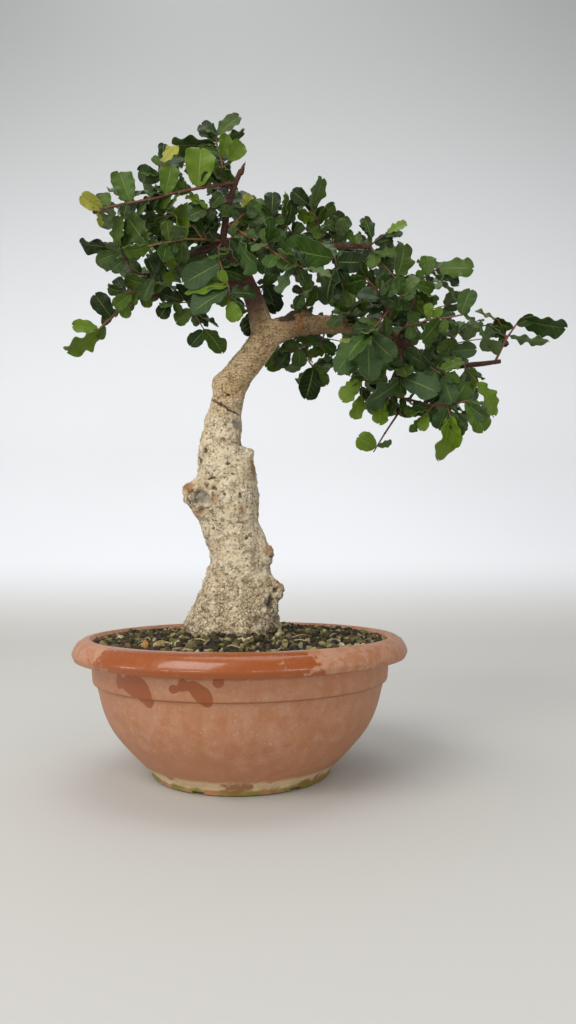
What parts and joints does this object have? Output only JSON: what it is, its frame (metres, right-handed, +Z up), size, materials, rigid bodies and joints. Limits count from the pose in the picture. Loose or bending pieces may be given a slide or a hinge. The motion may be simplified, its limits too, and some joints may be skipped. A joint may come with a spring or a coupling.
{
  "type": "bonsai tree in a training bowl",
  "caption": "Carob bonsai with a bent corky trunk, drooping limbs and paired oval leaflets, growing in a round terracotta-coloured plastic bowl filled with granular soil.",
  "frame": {"origin": "centre of the bowl's flat underside", "axes": "+Z up along the bowl's axis, -Y towards the front of the tree, +X to the side of its long limb"},
  "size_m": [0.4716, 0.3276, 0.6395],
  "materials": {
    "bowl": "satin",
    "soil": "matte",
    "bark": "matte",
    "leaf": "satin"
  },
  "bodies": {
    "root": {"bowl": "bowl", "soil": "soil", "trunk": "bark", "shoot_upper_left": "leaf", "shoot_top": "leaf", "shoot_upper_inner": "leaf", "shoot_left_light": "leaf", "shoot_left_outer": "leaf", "shoot_left_lime": "leaf", "shoot_low_left_upper": "leaf", "shoot_low_left_end": "leaf", "shoot_low_left_hang": "leaf", "shoot_hub_down": "leaf", "shoot_hub_right": "leaf", "shoot_red_front": "leaf", "shoot_crown_left": "leaf", "shoot_crown_middle": "leaf", "shoot_crown_right": "leaf", "shoot_crown_hub": "leaf", "shoot_round_leaf": "leaf", "shoot_right_hub": "leaf", "shoot_limb_hub": "leaf", "shoot_right_front": "leaf", "shoot_right_green": "leaf", "shoot_right_long": "leaf", "shoot_far_end": "leaf", "shoot_far_middle": "leaf", "shoot_far_low": "leaf", "shoot_low_right": "leaf", "shoot_low_right_front": "leaf", "shoot_centre_down": "leaf", "shoot_hang_left": "leaf", "shoot_droop_leaf": "leaf", "shoot_droop_end": "leaf", "shoot_under_left": "leaf", "shoot_fork_back": "leaf", "shoot_limb_middle": "leaf", "shoot_limb_top": "leaf", "back_shoot_left_high": "leaf", "back_shoot_top": "leaf", "back_shoot_left": "leaf", "back_shoot_left_low": "leaf", "back_shoot_inner_left": "leaf", "back_shoot_inner": "leaf", "back_shoot_crown_left": "leaf", "back_shoot_crown": "leaf", "back_shoot_crown_right": "leaf", "back_shoot_hub": "leaf", "back_shoot_limb": "leaf", "back_shoot_right": "leaf", "back_shoot_right_low": "leaf", "back_shoot_far": "leaf", "back_shoot_far_low": "leaf", "back_shoot_under": "leaf"}
  },
  "joints": []
}
